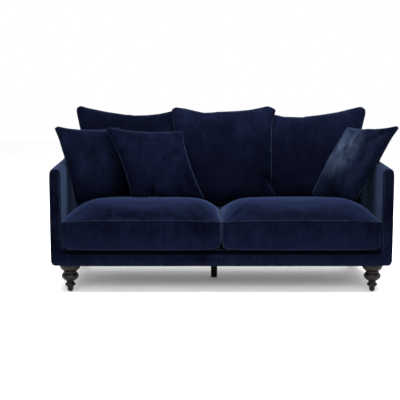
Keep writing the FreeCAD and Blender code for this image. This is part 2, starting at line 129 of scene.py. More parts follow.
def velvet(name, deep, lit, edge, sheen=0.10, nap=2.6, streaks=0.20, floor_bounce_z=None, highlight_at=None, shaded=None,
           shadow_at=None):
    """Cut velvet: dark pile, paler where the nap is brushed up, with a soft sheen at grazing angles, from the
    shader and also painted into the colour.

    The optional height band paints light bounced up from the floor: the colour turns paler
    towards the bottom. The optional highlight patch, a place, two distances and a colour, paints
    a highlight. The optional shadow patch, a place, two distances and an amount, paints a shadow,
    and the optional shade builder makes the factor for painted shade.
    """
    n = Nodes(name)
    wide = n.noise(nap, 2.5, 0.55, (1.0, 1.0, 0.75), 0.5)
    strokes = n.noise(30.0, 3.0, 0.6, (1.0, 1.0, 0.10))
    blotch = n.noise(15.0, 4.0, 0.68, (1.0, 1.0, 0.8), 0.9)
    fine = n.noise(170.0, 2.0, 0.6, (1.0, 1.0, 0.25))
    pile = n.noise(900.0, 2.0, 0.7)
    # The pale colour lightens the nap's streaks and blotches and is also the painted light from below; the
    # flat colour is the painted shade and shadow.
    pale, flat = scaled(lit, 1.9), scaled(deep, 0.5)
    base = n.mix(n.remap(wide, 0.38, 0.64, 0.0, 1.0), scaled(deep), scaled(lit))
    base = n.mix(n.remap(strokes, 0.46, 0.72, 0.0, streaks), base, pale)
    base = n.mix(n.remap(blotch, 0.50, 0.72, 0.0, 0.42), base, pale)
    base = n.mix(n.remap(blotch, 0.50, 0.30, 0.0, 0.55), base, scaled(deep, 0.6))
    # Painted light bounced up from the floor: paler towards the bottom of the height band, broken up by the
    # streaks.
    if floor_bounce_z:
        falling = n.remap(n.place()["Z"], floor_bounce_z[1], floor_bounce_z[0], 0.0, 1.0)
        base = n.mix(n.math("MULTIPLY", falling, n.remap(strokes, 0.3, 0.7, 0.45, 1.0)), base, pale)
    # Painted highlight: a paler patch round a place, with a ragged rim.
    if highlight_at:
        *patch, colour = highlight_at
        rough = n.remap(n.noise(16.0, 4.0, 0.65, (1, 1, 0.5), 1.0), 0.30, 0.62, 0.0, 1.0)
        base = n.mix(n.math("MULTIPLY", n.near(*patch), rough), base, scaled(colour))
    # Painted sheen: the colour turns towards the paler edge colour where the surface is seen at a grazing
    # angle.
    facing = n.add("ShaderNodeLayerWeight", {"Blend": 0.5}).outputs["Facing"]
    base = n.mix(n.remap(facing, 0.40, 0.95, 0.0, 1.0), base, scaled(edge))
    base = n.mix(n.remap(fine, 0.35, 0.7, 0.0, 0.30), base, scaled(deep, 0.45))
    # Painted shadow: the colour turns to the dark colour round a place.
    if shadow_at:
        base = n.mix(n.near(*shadow_at), base, flat)
    # Painted shade: the colour turns darker by the factor that the shade builder gives.
    if shaded:
        base = n.mix(shaded(n), base, flat)
    n.put(n.shader.inputs["Base Color"], base)
    n.put(n.shader.inputs["Roughness"], n.remap(strokes, 0.3, 0.7, 0.78, 0.95))
    n.put(n.shader.inputs["Normal"], n.bump(pile, 0.0006, 0.5, n.bump(fine, 0.0012, 0.25)))
    n.put(n.shader.inputs["Specular IOR Level"], 0.004)
    n.put(n.shader.inputs["Sheen Weight"], sheen)
    n.put(n.shader.inputs["Sheen Roughness"], 0.26)
    n.put(n.shader.inputs["Sheen Tint"], (0.34, 0.52, 1.0, 1.0))
    return n.mat


def mottled(name, dark, light, scale, rough, stretch=(1, 1, 1), grain=0.0004, metal=0.0, coat=0.0, gloss=0.3):
    """A surface with grain or mottling: two noises in its colour, one in its roughness, one in its relief."""
    n = Nodes(name)
    wide = n.noise(scale, 4.0, 0.6, stretch, 0.8)
    close = n.noise(300.0, 3.0, 0.6, stretch)
    base = n.mix(n.remap(wide, 0.35, 0.65, 0.0, 1.0), scaled(dark), scaled(light))
    base = n.mix(n.remap(close, 0.45, 0.75, 0.0, 0.35), base, scaled(dark, 0.5))
    n.put(n.shader.inputs["Base Color"], base)
    n.put(n.shader.inputs["Roughness"], n.remap(wide, 0.3, 0.7, *rough))
    n.put(n.shader.inputs["Normal"], n.bump(close, grain, 0.5))
    n.put(n.shader.inputs["Metallic"], metal)
    n.put(n.shader.inputs["Specular IOR Level"], gloss)
    n.put(n.shader.inputs["Coat Weight"], coat)
    n.put(n.shader.inputs["Coat Roughness"], 0.22)
    return n.mat


def frame_shade(n):
    """Painted shade on the frame: darker on the arms' inner faces back from where the pillows touch them, and
    on the border's top under the cushions' front.
    """
    place = n.place()
    across = n.math("ABSOLUTE", place["X"])
    inner = n.remap(across, ARM_INNER_X + 0.0005, ARM_INNER_X + 0.006, 1.0, 0.0)
    slanted_y = n.math("MULTIPLY_ADD", place["X"], 0.10, place["Y"])
    arms = n.math("MULTIPLY", inner, n.remap(slanted_y, -0.22, -0.13, 0.0, 0.92))
    between_arms = n.remap(across, ARM_INNER_X - 0.010, ARM_INNER_X, 1.0, 0.0)
    rail = n.math("MULTIPLY", between_arms, n.remap(place["Z"], 0.212, 0.224, 0.0, 1.0))
    rail = n.math("MULTIPLY", rail, n.remap(place["Z"], 0.30, 0.24, 0.0, 1.0))
    return n.math("MAXIMUM", arms, rail)


def seat_shade(n):
    """Painted shade on the seat cushions: darker where the two meet, and along the bottom of their boxing."""
    place = n.place()
    between = n.remap(n.math("ABSOLUTE", place["X"]), 0.0035, 0.0110, 0.95, 0.0)
    return n.math("MAXIMUM", between, n.remap(place["Z"], 0.2375, 0.2445, 0.95, 0.0))


def pillow_shade(n):
    """Painted shade on the back pillows: full colour at their tops, where more light falls, and darker lower
    down.
    """
    return n.remap(n.place()["Z"], 0.90, 0.70, 0.0, 0.68)


def left_shade(n):
    """Painted shade on the left scatter pillow: darker low down, where it sinks in between the arm and the
    seat.
    """
    return n.remap(n.place()["Z"], 0.66, 0.51, 0.0, 0.80)


# All these velvets are one navy fabric; the deep, lit and edge tones that differ between the copies are
# painted light and shade for each part.
VELVET = velvet("velvet", (0.0008, 0.0011, 0.0036), (0.0023, 0.0035, 0.0108), (0.0040, 0.0062, 0.0170))
# The frame's cover: painted shade inside the arms and on the border's top, and painted light from the floor
# low down.
VELVET_FRAME = velvet("velvet_frame", (0.0007, 0.0010, 0.0032), (0.0019, 0.0028, 0.0080),
                      (0.0060, 0.0095, 0.0230), nap=3.0, streaks=0.25, floor_bounce_z=(0.155, 0.195),
                      shaded=frame_shade)
# The seat's cover: painted shade between the cushions and along their bottom, and painted light from the floor
# low on the boxing.
VELVET_SEAT = velvet("velvet_seat", (0.0005, 0.0008, 0.0027), (0.0017, 0.0025, 0.0079),
                     (0.0070, 0.0112, 0.0320), nap=2.2, streaks=0.35, floor_bounce_z=(0.245, 0.360),
                     shaded=seat_shade)
# The middle and right back pillows: painted shade lower down.
VELVET_BACK = velvet("velvet_back_pillows", (0.0015, 0.0021, 0.0066), (0.0026, 0.0038, 0.0116),
                     (0.0046, 0.0070, 0.0190), shaded=pillow_shade)
# A darker copy: painted shade for the left back pillow.
VELVET_SHADED = velvet("velvet_shaded_copy", (0.0007, 0.0010, 0.0032), (0.0014, 0.0021, 0.0064),
                     (0.0036, 0.0056, 0.0150))
# The left scatter pillow: painted shade low down, and a painted shadow where the front pillow stands in front
# of it.
VELVET_LEFT = velvet("velvet_left_pillow", (0.0008, 0.0012, 0.0038), (0.0020, 0.0031, 0.0094),
                     (0.0040, 0.0062, 0.0170), shaded=left_shade,
                     shadow_at=((-0.565, 0.0, 0.58), 0.03, 0.19, 0.75))
VELVET_FRONT = velvet("velvet_front_pillow", (0.0008, 0.0011, 0.0036), (0.0018, 0.0027, 0.0086),
                      (0.0044, 0.0068, 0.0185))
# The right scatter pillow, with a painted highlight on its upper left face where light falls.
VELVET_HIGHLIT = velvet("velvet_painted_highlight", (0.0008, 0.0012, 0.0037), (0.0026, 0.0040, 0.0106),
                    (0.0042, 0.0066, 0.0170), sheen=0.12, nap=7.0,
                    highlight_at=((0.700, 0.020, 0.780), 0.03, 0.22, (0.027, 0.040, 0.071)))
# Seam and piping velvet, paler than the cloth they sew: painted highlight where light catches the raised
# seams.
VELVET_SEAM_HIGHLIT = velvet("velvet_seam_highlit", (0.0040, 0.0056, 0.0130), (0.0080, 0.0105, 0.0210),
                     (0.0120, 0.0160, 0.0300), sheen=0.2)
VELVET_PIPING_HIGHLIT = velvet("velvet_piping_highlit", (0.0026, 0.0037, 0.0088), (0.0052, 0.0070, 0.0145),
                       (0.0085, 0.0115, 0.0220), sheen=0.2)
MATERIALS = {
    "foot_wood": mottled("ebonised_wood", (0.0024, 0.0016, 0.0015), (0.0066, 0.0046, 0.0042), 26.0,
                         (0.28, 0.44), (1, 1, 0.12), 0.0003, coat=0.05, gloss=0.11),
    "leg_black": mottled("black_paint", (0.0010, 0.0009, 0.0006), (0.0022, 0.0020, 0.0014), 18.0,
                         (0.45, 0.62), gloss=0.05),
    "nylon": mottled("nylon_glide", (0.018, 0.018, 0.018), (0.034, 0.034, 0.034), 60.0, (0.4, 0.55)),
    "steel": mottled("zinc_steel", (0.40, 0.40, 0.41), (0.62, 0.62, 0.64), 45.0, (0.3, 0.45), metal=1.0),
    "frame_wood": mottled("sawn_softwood", (0.42, 0.27, 0.14), (0.66, 0.48, 0.29), 9.0, (0.6, 0.8),
                          (0.15, 1, 1), 0.0008),
    "foam": mottled("cut_foam", (0.62, 0.55, 0.36), (0.78, 0.72, 0.52), 60.0, (0.85, 0.95), grain=0.002),
    "fibre_insert": mottled("cotton_case", (0.68, 0.67, 0.63), (0.80, 0.79, 0.76), 14.0, (0.85, 0.95)),
    "felt": mottled("needled_felt", (0.20, 0.19, 0.18), (0.42, 0.40, 0.38), 90.0, (0.9, 1.0), grain=0.002),
    "dust_cloth": mottled("non_woven_cloth", (0.008, 0.008, 0.008), (0.020, 0.020, 0.020), 120.0,
                          (0.85, 0.95)),
    "webbing": mottled("woven_webbing", (0.26, 0.20, 0.12), (0.46, 0.37, 0.25), 60.0, (0.8, 0.9),
                       (0.1, 1, 1)),
    "deck_velvet": VELVET,
    "velvet": VELVET,
}
for part in frame["record"]["subparts"]:
    node = frame["nodes"][part["node"]]
    node.data.materials.clear()
    node.data.materials.append(MATERIALS[part["material_slot"]])


# ---- mesh helpers ----
def make_object(name, verts, faces, material, smooth=True):
    mesh = bpy.data.meshes.new(name)
    mesh.from_pydata([tuple(v) for v in verts], [], faces)
    mesh.update()
    if smooth:
        mesh.polygons.foreach_set("use_smooth", [True] * len(mesh.polygons))
    mesh.materials.append(material)
    obj = bpy.data.objects.new(name, mesh)
    scene.collection.objects.link(obj)
    return obj


def points_of(obj):
    """The object's points, with its modifiers."""
    evaluated = obj.evaluated_get(bpy.context.evaluated_depsgraph_get())
    co = np.zeros(len(evaluated.data.vertices) * 3, np.float32)
    evaluated.data.vertices.foreach_get("co", co)
    return co.reshape(-1, 3).astype(float)


def set_points(obj, points):
    obj.data.vertices.foreach_set("co", np.asarray(points, np.float32).ravel())
    obj.data.update()


def smooth_once(obj):
    mod = obj.modifiers.new("smooth", "SUBSURF")
    mod.levels = mod.render_levels = 1


def apply_modifiers(obj):
    bpy.context.view_layer.update()
    evaluated = obj.evaluated_get(bpy.context.evaluated_depsgraph_get())
    mesh = bpy.data.meshes.new_from_object(evaluated)
    old = obj.data
    obj.modifiers.clear()
    obj.data = mesh
    bpy.data.meshes.remove(old)


def recalc(obj):
    """Turns every face outwards."""
    mesh = bmesh.new()
    mesh.from_mesh(obj.data)
    bmesh.ops.recalc_face_normals(mesh, faces=mesh.faces)
    mesh.to_mesh(obj.data)
    mesh.free()


def tube(name, path, radius, material, closed=True):
    """A round cord along a line of points."""
    sides = 8
    path = np.asarray(path, float)
    count = len(path)
    ahead = np.roll(path, -1, 0) - np.roll(path, 1, 0)
    if not closed:
        ahead[0], ahead[-1] = path[1] - path[0], path[-1] - path[-2]
    ahead /= np.linalg.norm(ahead, axis=1)[:, None]
    off_axis = (0.31, 0.52, 0.79)
    side = np.cross(ahead[0], off_axis)
    verts = []
    for point, way in zip(path, ahead):
        side = side - way * side.dot(way)
        side /= np.linalg.norm(side)
        up = np.cross(way, side)
        for k in range(sides):
            a = 2 * math.pi * k / sides
            verts.append(point + radius * (side * math.cos(a) + up * math.sin(a)))
    faces = []
    for i in range(count if closed else count - 1):
        j = (i + 1) % count
        for k in range(sides):
            m = (k + 1) % sides
            faces.append((i * sides + k, i * sides + m, j * sides + m, j * sides + k))
    if not closed:
        faces.append(tuple(range(sides))[::-1])
        faces.append(tuple((count - 1) * sides + k for k in range(sides)))
    return make_object(name, verts, faces, material)


# ---- cloth simulation ----
JOBS = []


def cloth_job(obj, pressure, frames, bend, stiff, pinned=None):
    """Queues a piece for the one cloth run that all soft pieces share."""
    job = {"obj": obj, "frames": frames}
    JOBS.append(job)
    mod = obj.modifiers.new("cloth", "CLOTH")
    s = mod.settings
    s.quality = 5
    s.mass = 0.3
    s.tension_stiffness = s.compression_stiffness = stiff
    s.shear_stiffness = stiff * 0.3
    s.bending_stiffness = bend
    s.air_damping = 1.0
    s.use_pressure = True
    s.uniform_pressure_force = pressure
    s.effector_weights.gravity = 0.0
    if pinned is not None:
        group = obj.vertex_groups.new(name="pinned")
        group.add([int(i) for i in pinned], 1.0, "REPLACE")
        s.vertex_group_mass = "pinned"
    mod.point_cache.frame_end = frames
    return job


def run_cloth():
    """Steps the clock once for every queued piece and keeps each one's points at its own last frame."""
    for f in range(1, max(j["frames"] for j in JOBS) + 1):
        scene.frame_set(f)
        for job in JOBS:
            if job["frames"] == f:
                job["points"] = points_of(job["obj"])
                job["obj"].modifiers["cloth"].show_viewport = False
    for job in JOBS:
        obj = job["obj"]
        if "points" not in job:
            job["points"] = points_of(obj)
        obj.modifiers.clear()
        obj.vertex_groups.clear()
    scene.frame_set(1)


# ---- pillows ----
def pillow_sheet(name, size, cells, seed, material):
    """Two flat square sheets sewn round their rim; returns the object, its rim and its points."""
    ticks = np.linspace(-1, 1, cells + 1)
    waves = np.random.default_rng(seed).uniform(-1, 1, (6, 5))
    verts, index = [], {}
    for face in (0, 1):
        for j, v in enumerate(ticks):
            for i, u in enumerate(ticks):
                rim = i in (0, cells) or j in (0, cells)
                if face and rim:
                    index[1, i, j] = index[0, i, j]
                    continue
                inner = min(1 - abs(u), 1 - abs(v))
                near_tip = max(0.0, (min(abs(u), abs(v)) - 0.90) / 0.10)
                pull = 1 - 0.030 * near_tip**2
                ripple = sum(w[0] * math.sin(3 * w[1] * u + 3 * w[2] * v + 6 * w[3]) for w in waves)
                z = 0 if rim else (1, -1)[face] * (0.012 + 0.0012 * ripple) * min(1, inner * 6) ** 0.5
                index[face, i, j] = len(verts)
                verts.append((u * pull * size / 2, v * pull * size / 2, z))
    faces = []
    for face in (0, 1):
        for j in range(cells):
            for i in range(cells):
                quad = [index[face, i + a, j + b] for a, b in ((0, 0), (1, 0), (1, 1), (0, 1))]
                faces.append(quad[::-1] if face else quad)
    rim = [index[0, i, 0] for i in range(cells)] + [index[0, cells, j] for j in range(cells)]
    rim += [index[0, i, cells] for i in range(cells, 0, -1)] + [index[0, 0, j] for j in range(cells, 0, -1)]
    return make_object(name, verts, faces, material), rim, np.array(verts)


def eased(points, edges, rounds):
    """Moves each point towards the average of its neighbours, a few times over."""
    a, b = np.concatenate([edges[:, 0], edges[:, 1]]), np.concatenate([edges[:, 1], edges[:, 0]])
    count = np.bincount(a, minlength=len(points))[:, None]
    p = points.copy()
    for _ in range(rounds):
        mean = np.stack([np.bincount(a, weights=p[b, k], minlength=len(p)) for k in range(3)], 1) / count
        p += 0.5 * (mean - p)
    return p


def edge_list(obj):
    ends = np.zeros(len(obj.data.edges) * 2, np.int64)
    obj.data.edges.foreach_get("vertices", ends)
    return ends.reshape(-1, 2)


def crown_height(x, y):
    """Height of the seat cushions' tops, which fall away towards all four sides of each cushion."""

    def rise(distance, run):
        return np.minimum(distance.clip(0) / run, 1)

    ax = np.abs(x)
    inner = 1 - (1 - rise(ax - 0.002, 0.165)) ** 2.2
    outer = 1 - (1 - rise(ARM_INNER_X - 0.002 - ax, 0.195)) ** 2.0
    front = np.sin(rise(y - FRONT_Y, 0.250) * math.pi / 2)
    rear = np.sin(rise(0.235 - y, 0.440) * math.pi / 2)
    return SEAT_SEAM_Z + SEAT_CROWN * inner**0.62 * outer**0.86 * front * rear


def arm_top(y):
    """Height of the arms' tops: nearly level, then sweeping up to the back."""
    y = np.asarray(y, float)
    level = ARM_FRONT_Z + 0.045 * (y - FRONT_Y)
    sweep = 0.084 * (y / 0.31).clip(0, 1) ** 2.2
    return level + sweep


def back_front_y(z):
    return 0.235 + (z - BASE_Z) * 0.077 / (BACK_TOP_Z - BASE_Z)


def back_rear_y(z):
    return 0.415 + (z - BASE_Z) * 0.035 / (BACK_TOP_Z - BASE_Z)


def keep_clear(points):
    """Presses a pillow's points off the seat, the arms and the back: it is flat where it rests on them."""
    p = points.copy()
    arm_gap, arm_rest, back_gap, seat_gap = 0.003, 0.005, 0.004, 0.002
    wall = ARM_INNER_X - arm_gap
    for side in (-1, 1):
        over = p[:, 0] * side - wall
        depth = arm_top(p[:, 1]) + 0.004 - p[:, 2]
        hit = (over > 0) & (depth > 0)
        shallow = hit & (over > depth)
        p[shallow, 2] = arm_top(p[shallow, 1]) + arm_rest
        p[hit & ~shallow, 0] = side * wall
    rest = p[:, 2] < BACK_TOP_Z + back_gap
    limit = back_front_y(p[:, 2]) - back_gap
    p[rest, 1] = np.minimum(p[rest, 1], limit[rest])
    floor = crown_height(p[:, 0], p[:, 1]) + seat_gap
    inside = (p[:, 1] > FRONT_Y) & (p[:, 1] < SEAT_REAR_Y)
    p[inside, 2] = np.maximum(p[inside, 2], floor[inside])
    return p


def shape_edge(s, t, rim, side, profile):
    """Moves one edge of the pillow to a wanted profile: insets at places along it, as shares of its size."""
    fade, blunting, tip = 0.22, 0.038, 0.044
    along, across = (s, t) if side in ("low", "top") else (t, s)
    near = across if side in ("low", "left") else 1 - across
    cells = len(rim) // 4
    first = ("low", "right", "top", "left").index(side) * cells
    own = np.array((rim + rim[:1])[first:first + cells + 1])
    order = own[np.argsort(along[own])]
    now = np.interp(along, along[order], near[order])
    places, insets = zip(*profile)
    blunt = blunting * (1 - np.minimum(along, 1 - along).clip(0) / tip).clip(0) ** 1.6
    wanted = np.interp(along, places, insets) + blunt
    change = (wanted - now) * np.exp(-(near - now).clip(0) / fade)
    if side in ("right", "top"):
        change = -change
    return (s, t + change) if side in ("low", "top") else (s + change, t)


class Pillow:
    """A knife-edge pillow, blown up flat and then laid between its four corner tips.

    The tips are given anticlockwise from the lower left, as seen from the front. folds and
    edges work in shares of the pillow's width (s) and height (t).
    """

    REAR_SHARE = 0.8  # the rear face bulges less than the front

    def __init__(self, name, tips, thick, seed, material, edges, folds=(), *, size, cells, frames, sag):
        self.name, self.thick, self.folds, self.sag = name, thick, folds, sag
        self.tips = [np.array(tip, float) for tip in tips]
        self.edges = {"low": FLAT, **edges}
        self.obj, self.rim, self.flat = pillow_sheet(name, size, cells, seed, material)
        self.job = cloth_job(self.obj, 4.0, frames, bend=0.9, stiff=28.0)

    def finish(self):
        shape = self.job["points"]
        shape = eased(shape, edge_list(self.obj), 8)
        low, high = shape[self.rim][:, :2].min(0), shape[self.rim][:, :2].max(0)
        s, t = ((shape[:, :2] - low) / (high - low)).T
        z = shape[:, 2] * self.thick / (shape[:, 2].max() - shape[:, 2].min())
        z *= 1 + self.sag * (0.5 - t)
        z = np.where(z < 0, z * self.REAR_SHARE, z)
        for side, profile in self.edges.items():
            s, t = shape_edge(s, t, self.rim, side, profile)
        for fold in self.folds:
            z = fold(s, t, z)
        world = keep_clear(self.laid(s[:, None], t[:, None], z[:, None]))
        set_points(self.obj, world)
        smooth_once(self.obj)
        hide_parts(f"{self.name}_cover", f"{self.name}_insert")
        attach(self.obj, self.name)
        seam = tube(f"{self.name}_seam", world[self.rim], 0.0019, VELVET_PIPING_HIGHLIT)
        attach(seam, self.name)

    def laid(self, s, t, z):
        """Points of the pillow in space: between its tips, and z out from the plane through them."""
        low_left, low_right, top_right, top_left = self.tips
        along = (low_right - low_left) + (top_right - top_left)
        up = (top_left - low_left) + (top_right - low_right)
        out = np.cross(along, up)
        out /= np.linalg.norm(out)
        flat = low_left * (1 - s) * (1 - t) + low_right * s * (1 - t)
        flat = flat + top_right * s * t + top_left * (1 - s) * t
        return flat + out * z


def crease(s0, t0, s1, t1, depth, width):
    """A fold along a line on the pillow's face, deepest where it starts."""

    def fold(s, t, z):
        ds, dt = s1 - s0, t1 - t0
        k = ((s - s0) * ds + (t - t0) * dt) / (ds * ds + dt * dt)
        off = np.hypot(s - (s0 + k * ds), t - (t0 + k * dt))
        dip = depth * np.exp(-((off / width) ** 2)) * (1 - k.clip(0, 1)) * (k > -0.12) * (k < 1)
        deepest = np.maximum(z + 0.004, 0)
        return np.where(z > -0.0005, z - np.minimum(dip, deepest), z)

    return fold


# Edge profiles: (place along the edge, inset), both as shares of the pillow's size.
FLAT = [(0, 0), (1, 0)]
TOP_LEFT = [(0, 0), (0.11, 0.028), (0.3, 0.060), (0.49, 0.080), (0.58, 0.084), (0.71, 0.072),
            (0.82, 0.052), (1, 0)]
TOP_MIDDLE = [(0, 0), (0.13, 0.020), (0.23, 0.048), (0.31, 0.068), (0.37, 0.066), (0.46, 0.058),
              (0.63, 0.050), (0.75, 0.038), (0.86, 0.016), (0.93, 0.001), (1, 0)]
TOP_RIGHT = [(0, 0), (0.08, 0.04), (0.22, 0.084), (0.32, 0.090), (0.405, 0.096), (0.44, 0.087),
             (0.5, 0.085), (0.61, 0.070), (0.73, 0.052), (0.845, 0.024), (0.93, 0.002), (1, 0)]
RIGHT_MIDDLE = [(0, 0), (0.05, 0.018), (0.09, 0.044), (0.125, 0.060), (0.16, 0.062), (0.20, 0.050),
                (0.3, 0.046), (0.5, 0.046), (0.72, 0.044), (0.85, 0.032), (0.94, 0.008), (1, 0)]
LOW_FRONT = [(0, 0), (0.14, 0.0), (0.20, 0.010), (0.245, 0.036), (0.285, 0.085), (0.305, 0.100),
             (0.325, 0.075), (0.345, 0.032), (0.375, 0.008), (0.42, 0), (1, 0)]
LOW_MIDDLE = [(0, 0), (0.25, -0.015), (0.38, -0.045), (0.46, -0.065), (0.54, -0.045), (0.68, -0.015), (1, 0)]
STRAIGHT = [(0, 0), (0.12, 0.012), (0.88, 0.012), (1, 0)]
CURVED = [(0, 0), (0.06, 0.012), (0.2, 0.034), (0.36, 0.046), (0.5, 0.048), (0.64, 0.046), (0.8, 0.034),
          (0.94, 0.012), (1, 0)]
SCATTER_EDGES = {"top": CURVED, "left": CURVED, "right": CURVED}
BACK = {"size": 0.66, "cells": 64, "frames": 13, "sag": 0.0}
SCATTER = {"size": 0.46, "cells": 56, "frames": 12, "sag": 0.2}
pillows = [
    Pillow("back_pillow_left",
           [(-0.852, 0.150, 0.452), (-0.248, 0.168, 0.452), (-0.256, 0.280, 0.975), (-0.864, 0.262, 1.009)],
           0.155, 5, VELVET_SHADED, {"top": TOP_LEFT, "right": STRAIGHT}, **BACK),
    Pillow("back_pillow_middle",
           [(-0.292, 0.115, 0.456), (0.344, 0.108, 0.456), (0.340, 0.226, 1.001), (-0.288, 0.226, 0.998)],
           0.160, 8, VELVET_BACK, {"top": TOP_MIDDLE, "right": RIGHT_MIDDLE, "low": LOW_MIDDLE},
           [crease(1.0, 0.15, 0.80, 0.26, 0.040, 0.030)], **BACK),
    Pillow("back_pillow_right",
           [(0.248, 0.168, 0.452), (0.852, 0.150, 0.452), (0.888, 0.262, 0.998), (0.252, 0.280, 0.976)],
           0.155, 17, VELVET_BACK, {"top": TOP_RIGHT, "left": STRAIGHT},
           [crease(0.44, 1.0, 0.40, 0.90, 0.012, 0.018)], **BACK),
    Pillow("scatter_pillow_left",
           [(-0.812, -0.250, 0.466), (-0.500, 0.085, 0.474), (-0.588, 0.130, 0.880), (-0.935, -0.205, 0.903)],
           0.120, 21, VELVET_LEFT, SCATTER_EDGES, **SCATTER),
    Pillow("scatter_pillow_front",
           [(-0.508, -0.118, 0.484), (-0.086, -0.030, 0.462), (-0.222, 0.030, 0.864), (-0.666, -0.022, 0.890)],
           0.116, 33, VELVET_FRONT, {**SCATTER_EDGES, "low": LOW_FRONT},
           [crease(0.305, 0.09, 0.40, 0.36, 0.026, 0.030), crease(0.25, 0.06, 0.05, 0.18, 0.010, 0.04)],
           **SCATTER),
    Pillow("scatter_pillow_right",
           [(0.547, 0.112, 0.473), (0.759, -0.222, 0.480), (0.990, -0.250, 0.908), (0.750, 0.085, 0.886)],
           0.116, 40, VELVET_HIGHLIT, SCATTER_EDGES, [crease(0.98, 0.96, 0.55, 0.62, 0.016, 0.05)], **SCATTER),
]


# ---- seat cushions ----
class SeatCushion:
    """A box cushion: a crowned top, boxing between two sewn seams, and a flat base.

    It is made on the right and mirrored for the left. Grid points are counted across (i), back
    from the front (j) and up the boxing (k).
    """

    NX, NY = 60, 48
    LEVELS = [0.0, 0.0, 0.045, 0.10, 0.2, 0.3, 0.4, 0.5, 0.6, 0.7, 0.8, 0.9, 0.96, 1.0]
    TUCKS = [0.016, 0.006] + [0.0] * 12  # how far each level stands in
    X = (0.002, ARM_INNER_X - 0.0015)
    Y = (-0.449, 0.231)
    MOVE_CAP = 0.006  # how far the simulation may move a point

    def __init__(self, side):
        self.name = f"seat_cushion_{'right' if side > 0 else 'left'}"
        self.side = side
        nx, ny, nz = self.NX, self.NY, len(self.LEVELS) - 1
        verts, index, faces = [], {}, []

        def vert(i, j, k):
            if (i, j, k) not in index:
                index[i, j, k] = len(verts)
                verts.append(self.grid_point(i, j, k))
            return index[i, j, k]

        def quads(place, na, nb, flip):
            for a in range(na):
                for b in range(nb):
                    quad = [vert(*place(a + da, b + db)) for da, db in ((0, 0), (1, 0), (1, 1), (0, 1))]
                    faces.append(quad[::-1] if flip else quad)

        quads(lambda a, b: (a, b, nz), nx, ny, False)
        quads(lambda a, b: (a, b, 0), nx, ny, True)
        quads(lambda a, b: (a, 0, b), nx, nz, False)
        quads(lambda a, b: (a, ny, b), nx, nz, True)
        quads(lambda a, b: (0, a, b), ny, nz, True)
        quads(lambda a, b: (nx, a, b), ny, nz, False)

        def ring(k):
            loop = [(i, 0, k) for i in range(nx)] + [(nx, j, k) for j in range(ny)]
            loop += [(i, ny, k) for i in range(nx, 0, -1)] + [(0, j, k) for j in range(ny, 0, -1)]
            return [index[q] for q in loop]

        self.rings = [ring(nz), ring(2)]
        self.corners = [[index[i, 0, k] for k in range(2, nz + 1)] for i in (0, nx)]
        self.start = np.array(verts)
        if side < 0:
            self.start[:, 0] *= -1
            faces = [q[::-1] for q in faces]
        base = [index[i, j, 0] for i in range(nx + 1) for j in range(ny + 1)]
        held = sorted(set(sum(self.rings + self.corners, ring(1) + base)))
        self.obj = make_object(self.name, self.start, faces, VELVET_SEAT)
        self.job = cloth_job(self.obj, 1.6, 9, bend=4.0, stiff=40.0, pinned=held)

    def grid_point(self, i, j, k):
        nx, ny, nz = self.NX, self.NY, len(self.LEVELS) - 1
        (x0, x1), (y0, y1) = self.X, self.Y
        u, v, w = i / nx, j / ny, self.LEVELS[k]
        x, y = x0 + u * (x1 - x0), y0 + v * (y1 - y0)
        in_x, in_y = (1 if u < 0.5 else -1), (1 if v < 0.5 else -1)
        near_x, near_y = min(x - x0, x1 - x), min(y - y0, y1 - y)
        rounding = 0.005 * max(0.0, 1 - near_x / 0.030) * max(0.0, 1 - near_y / 0.030)
        dx, dy = in_x * rounding, in_y * rounding
        bow = abs(2 * u - 1) ** 4
        if k == nz:
            z = float(crown_height(np.array(x), np.array(y))) - 0.011 * bow
        else:
            low = SEAT_LOW_Z + (0.003 + 0.012 * bow**1.5) * (1 - v) ** 4
            z = low + w * (SEAT_SEAM_Z - 0.011 * bow - low)
        swell = (1 - bow) * (math.sin(math.pi * w) if k not in (0, nz) else 0.0)
        tuck = self.TUCKS[k]
        if j == 0:
            dy += tuck - 0.007 * swell
        if j == ny:
            dy += 0.004 * swell - tuck
        if i in (0, nx):
            dx += in_x * tuck
        dx += in_x * 0.013 * bow**6 * max(0.0, 1 - w / 0.24) ** 2
        return x + dx, y + dy, z

    def finish(self):
        points = self.job["points"]
        move = points - self.start
        far = np.linalg.norm(move, axis=1)
        points = self.start + move * np.minimum(1, self.MOVE_CAP / np.maximum(far, 1e-9))[:, None]
        points[:, 2] += self.corner_folds(points)
        points[:, 0] = self.side * (points[:, 0] * self.side).clip(0.0012, ARM_INNER_X - 0.0008)
        points[:, 2] = points[:, 2].clip(SEAT_LOW_Z)
        set_points(self.obj, points)
        smooth_once(self.obj)
        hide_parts(f"{self.name}_cover", f"{self.name}_core")
        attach(self.obj, self.name)
        lines = [("top_seam", self.rings[0], 0.0017, True),
                 ("base_seam", self.rings[1], 0.0017, True),
                 ("corner_seam_a", self.corners[0], 0.0013, False),
                 ("corner_seam_b", self.corners[1], 0.0013, False)]
        for label, line, radius, closed in lines:
            seam = tube(f"{self.name}_{label}", points[line], radius, VELVET_SEAM_HIGHLIT, closed)
            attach(seam, self.name)

    def corner_folds(self, points):
        """Soft diagonal folds that run back from the front corners of the crown."""
        x, y = points[:, 0] * self.side, points[:, 1]
        lift = np.zeros(len(points))
        for corner_x, way, height in ((0.0, 1, 0.0030 + 0.0010 * self.side), (ARM_INNER_X, -1, 0.0018)):
            dx, dy = (x - corner_x) * way, y - FRONT_Y
            along, off = (dx * 0.62 + dy * 0.78), (dx * 0.78 - dy * 0.62)
            fade = np.sin((along / 0.26).clip(0, 1) * math.pi) ** 0.8
            ridge, hollow = np.exp(-((off / 0.012) ** 2)), np.exp(-(((off - 0.026) / 0.018) ** 2))
            lift += height * fade * (ridge - 0.6 * hollow)
        return np.where(points[:, 2] > SEAT_SEAM_Z + 0.003, lift, 0.0)


cushions = [SeatCushion(-1), SeatCushion(1)]


